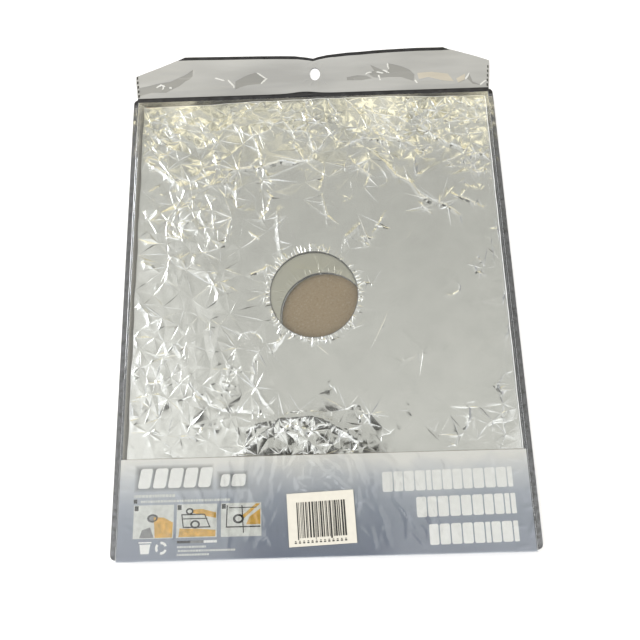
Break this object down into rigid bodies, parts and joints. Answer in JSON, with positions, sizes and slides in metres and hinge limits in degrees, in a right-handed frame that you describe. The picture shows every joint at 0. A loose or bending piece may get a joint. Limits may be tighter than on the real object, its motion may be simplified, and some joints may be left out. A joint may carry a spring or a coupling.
{
  "type": "hob protector foil pack",
  "caption": "Flat hanging retail pouch of two films around a folded foil sheet with round burner holes, held in a U-folded printed board.",
  "frame": {"origin": "middle of the pack's outline, header included, on the plane that its back film lies on", "axes": "+X across the pack to the right as its clear front is read, +Y along the pack towards the hang hole, +Z out of the clear front"},
  "size_m": [0.268, 0.357, 0.0066],
  "materials": {
    "dark_film": "satin",
    "clear_film": "gloss",
    "frosted_film": "satin",
    "melted_film": "satin",
    "weld_mark": "satin",
    "adhesive": "gloss",
    "label_paper": "matte",
    "printed_board": "satin",
    "shiny_foil": "polished",
    "matte_foil": "satin"
  },
  "bodies": {
    "bag": {"back_film": "dark_film", "front_film": "clear_film", "left_side_weld": "melted_film", "right_side_weld": "melted_film", "bottom_weld": "melted_film", "adhesive_strip": "adhesive", "barcode_label": "label_paper"},
    "header": {"header_backing": "dark_film", "header_strip": "frosted_film", "header_left_weld": "weld_mark", "header_right_weld": "weld_mark", "header_crease": "dark_film"},
    "card": {"insert_card": "printed_board"},
    "foil": {"foil_layer_1": "shiny_foil", "foil_layer_2": "matte_foil", "foil_layer_3": "shiny_foil", "foil_layer_4": "matte_foil", "foil_end_fold_upper": "shiny_foil", "foil_end_fold_lower": "shiny_foil", "foil_side_fold_inner": "matte_foil", "foil_side_fold_outer": "shiny_foil"}
  },
  "joints": [
    {"name": "header_fold", "type": "hinge", "parent": "bag", "child": "header", "pos_m": [0, 0.1415, 0], "axis": [-1, 0, 0], "range_deg": [0, 170]},
    {"name": "card_slide", "type": "slide", "parent": "bag", "child": "card", "axis": [0, 1, 0], "range_m": [0, 0.33]},
    {"name": "foil_slide", "type": "slide", "parent": "card", "child": "foil", "axis": [0, 1, 0], "range_m": [0, 0.31]}
  ]
}
